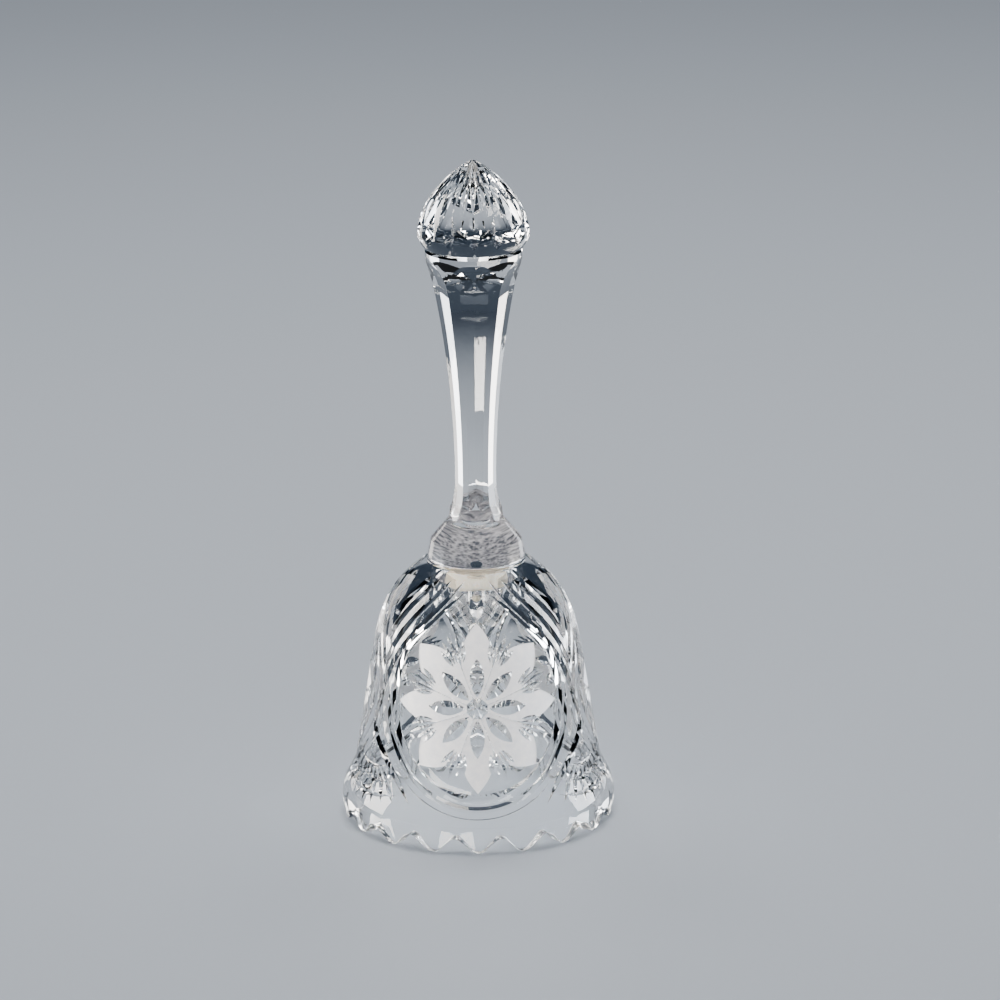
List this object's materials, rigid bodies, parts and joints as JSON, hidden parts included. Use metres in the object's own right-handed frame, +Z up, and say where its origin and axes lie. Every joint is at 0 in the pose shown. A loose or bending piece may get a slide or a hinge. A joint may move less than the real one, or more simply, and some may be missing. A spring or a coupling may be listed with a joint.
{
  "type": "hand bell",
  "caption": "Cut-glass hand bell: a scalloped cup with flower medallions, a five-sided stem, a cut knob and a ball clapper on a chain.",
  "frame": {"origin": "middle of the mouth, at the height of the scallop tips that the bell stands on", "axes": "+Z up through the stem to the knob; -Y is the front, where one flower medallion faces; +X to the right seen from the front"},
  "size_m": [0.0776, 0.0776, 0.19],
  "materials": {
    "cup_glass": "polished and cut clear crystal with etched petals",
    "stem_glass": "polished clear crystal",
    "knob_glass": "polished and cut clear crystal",
    "ball_glass": "polished clear crystal",
    "bond_cement": "milky set cement",
    "plug_cement": "cream plaster",
    "chain_metal": "bright plated wire"
  },
  "bodies": {
    "bell": {"bell_cup": "cup_glass", "stem": "stem_glass", "knob": "knob_glass", "stem_bond": "bond_cement", "knob_bond": "bond_cement", "anchor_plug": "plug_cement", "anchor_staple": "chain_metal"},
    "link_1": {"chain_link_1": "chain_metal"},
    "link_2": {"chain_link_2": "chain_metal"},
    "link_3": {"chain_link_3": "chain_metal"},
    "link_4": {"chain_link_4": "chain_metal"},
    "link_5": {"chain_link_5": "chain_metal"},
    "link_6": {"chain_link_6": "chain_metal"},
    "clapper": {"clapper_eye": "chain_metal", "clapper_ball": "ball_glass"}
  },
  "joints": [
    {"name": "link_1_swing", "type": "hinge", "parent": "bell", "child": "link_1", "pos_m": [0, 0, 0.062], "axis": [1, 0, 0], "range_deg": [-35, 35]},
    {"name": "link_2_swing", "type": "hinge", "parent": "link_1", "child": "link_2", "pos_m": [0, 0, 0.05715], "axis": [0, 1, 0], "range_deg": [-40, 40]},
    {"name": "link_3_swing", "type": "hinge", "parent": "link_2", "child": "link_3", "pos_m": [0, 0, 0.0523], "axis": [-1, 0, 0], "range_deg": [-48, 48]},
    {"name": "link_4_swing", "type": "hinge", "parent": "link_3", "child": "link_4", "pos_m": [0, 0, 0.04745], "axis": [0, -1, 0], "range_deg": [-60, 60]},
    {"name": "link_5_swing", "type": "hinge", "parent": "link_4", "child": "link_5", "pos_m": [0, 0, 0.0426], "axis": [1, 0, 0], "range_deg": [-70, 70]},
    {"name": "link_6_swing", "type": "hinge", "parent": "link_5", "child": "link_6", "pos_m": [0, 0, 0.03775], "axis": [0, 1, 0], "range_deg": [-75, 75]},
    {"name": "clapper_swing", "type": "hinge", "parent": "link_6", "child": "clapper", "pos_m": [0, 0, 0.0329], "axis": [-1, 0, 0], "range_deg": [-75, 75]}
  ]
}
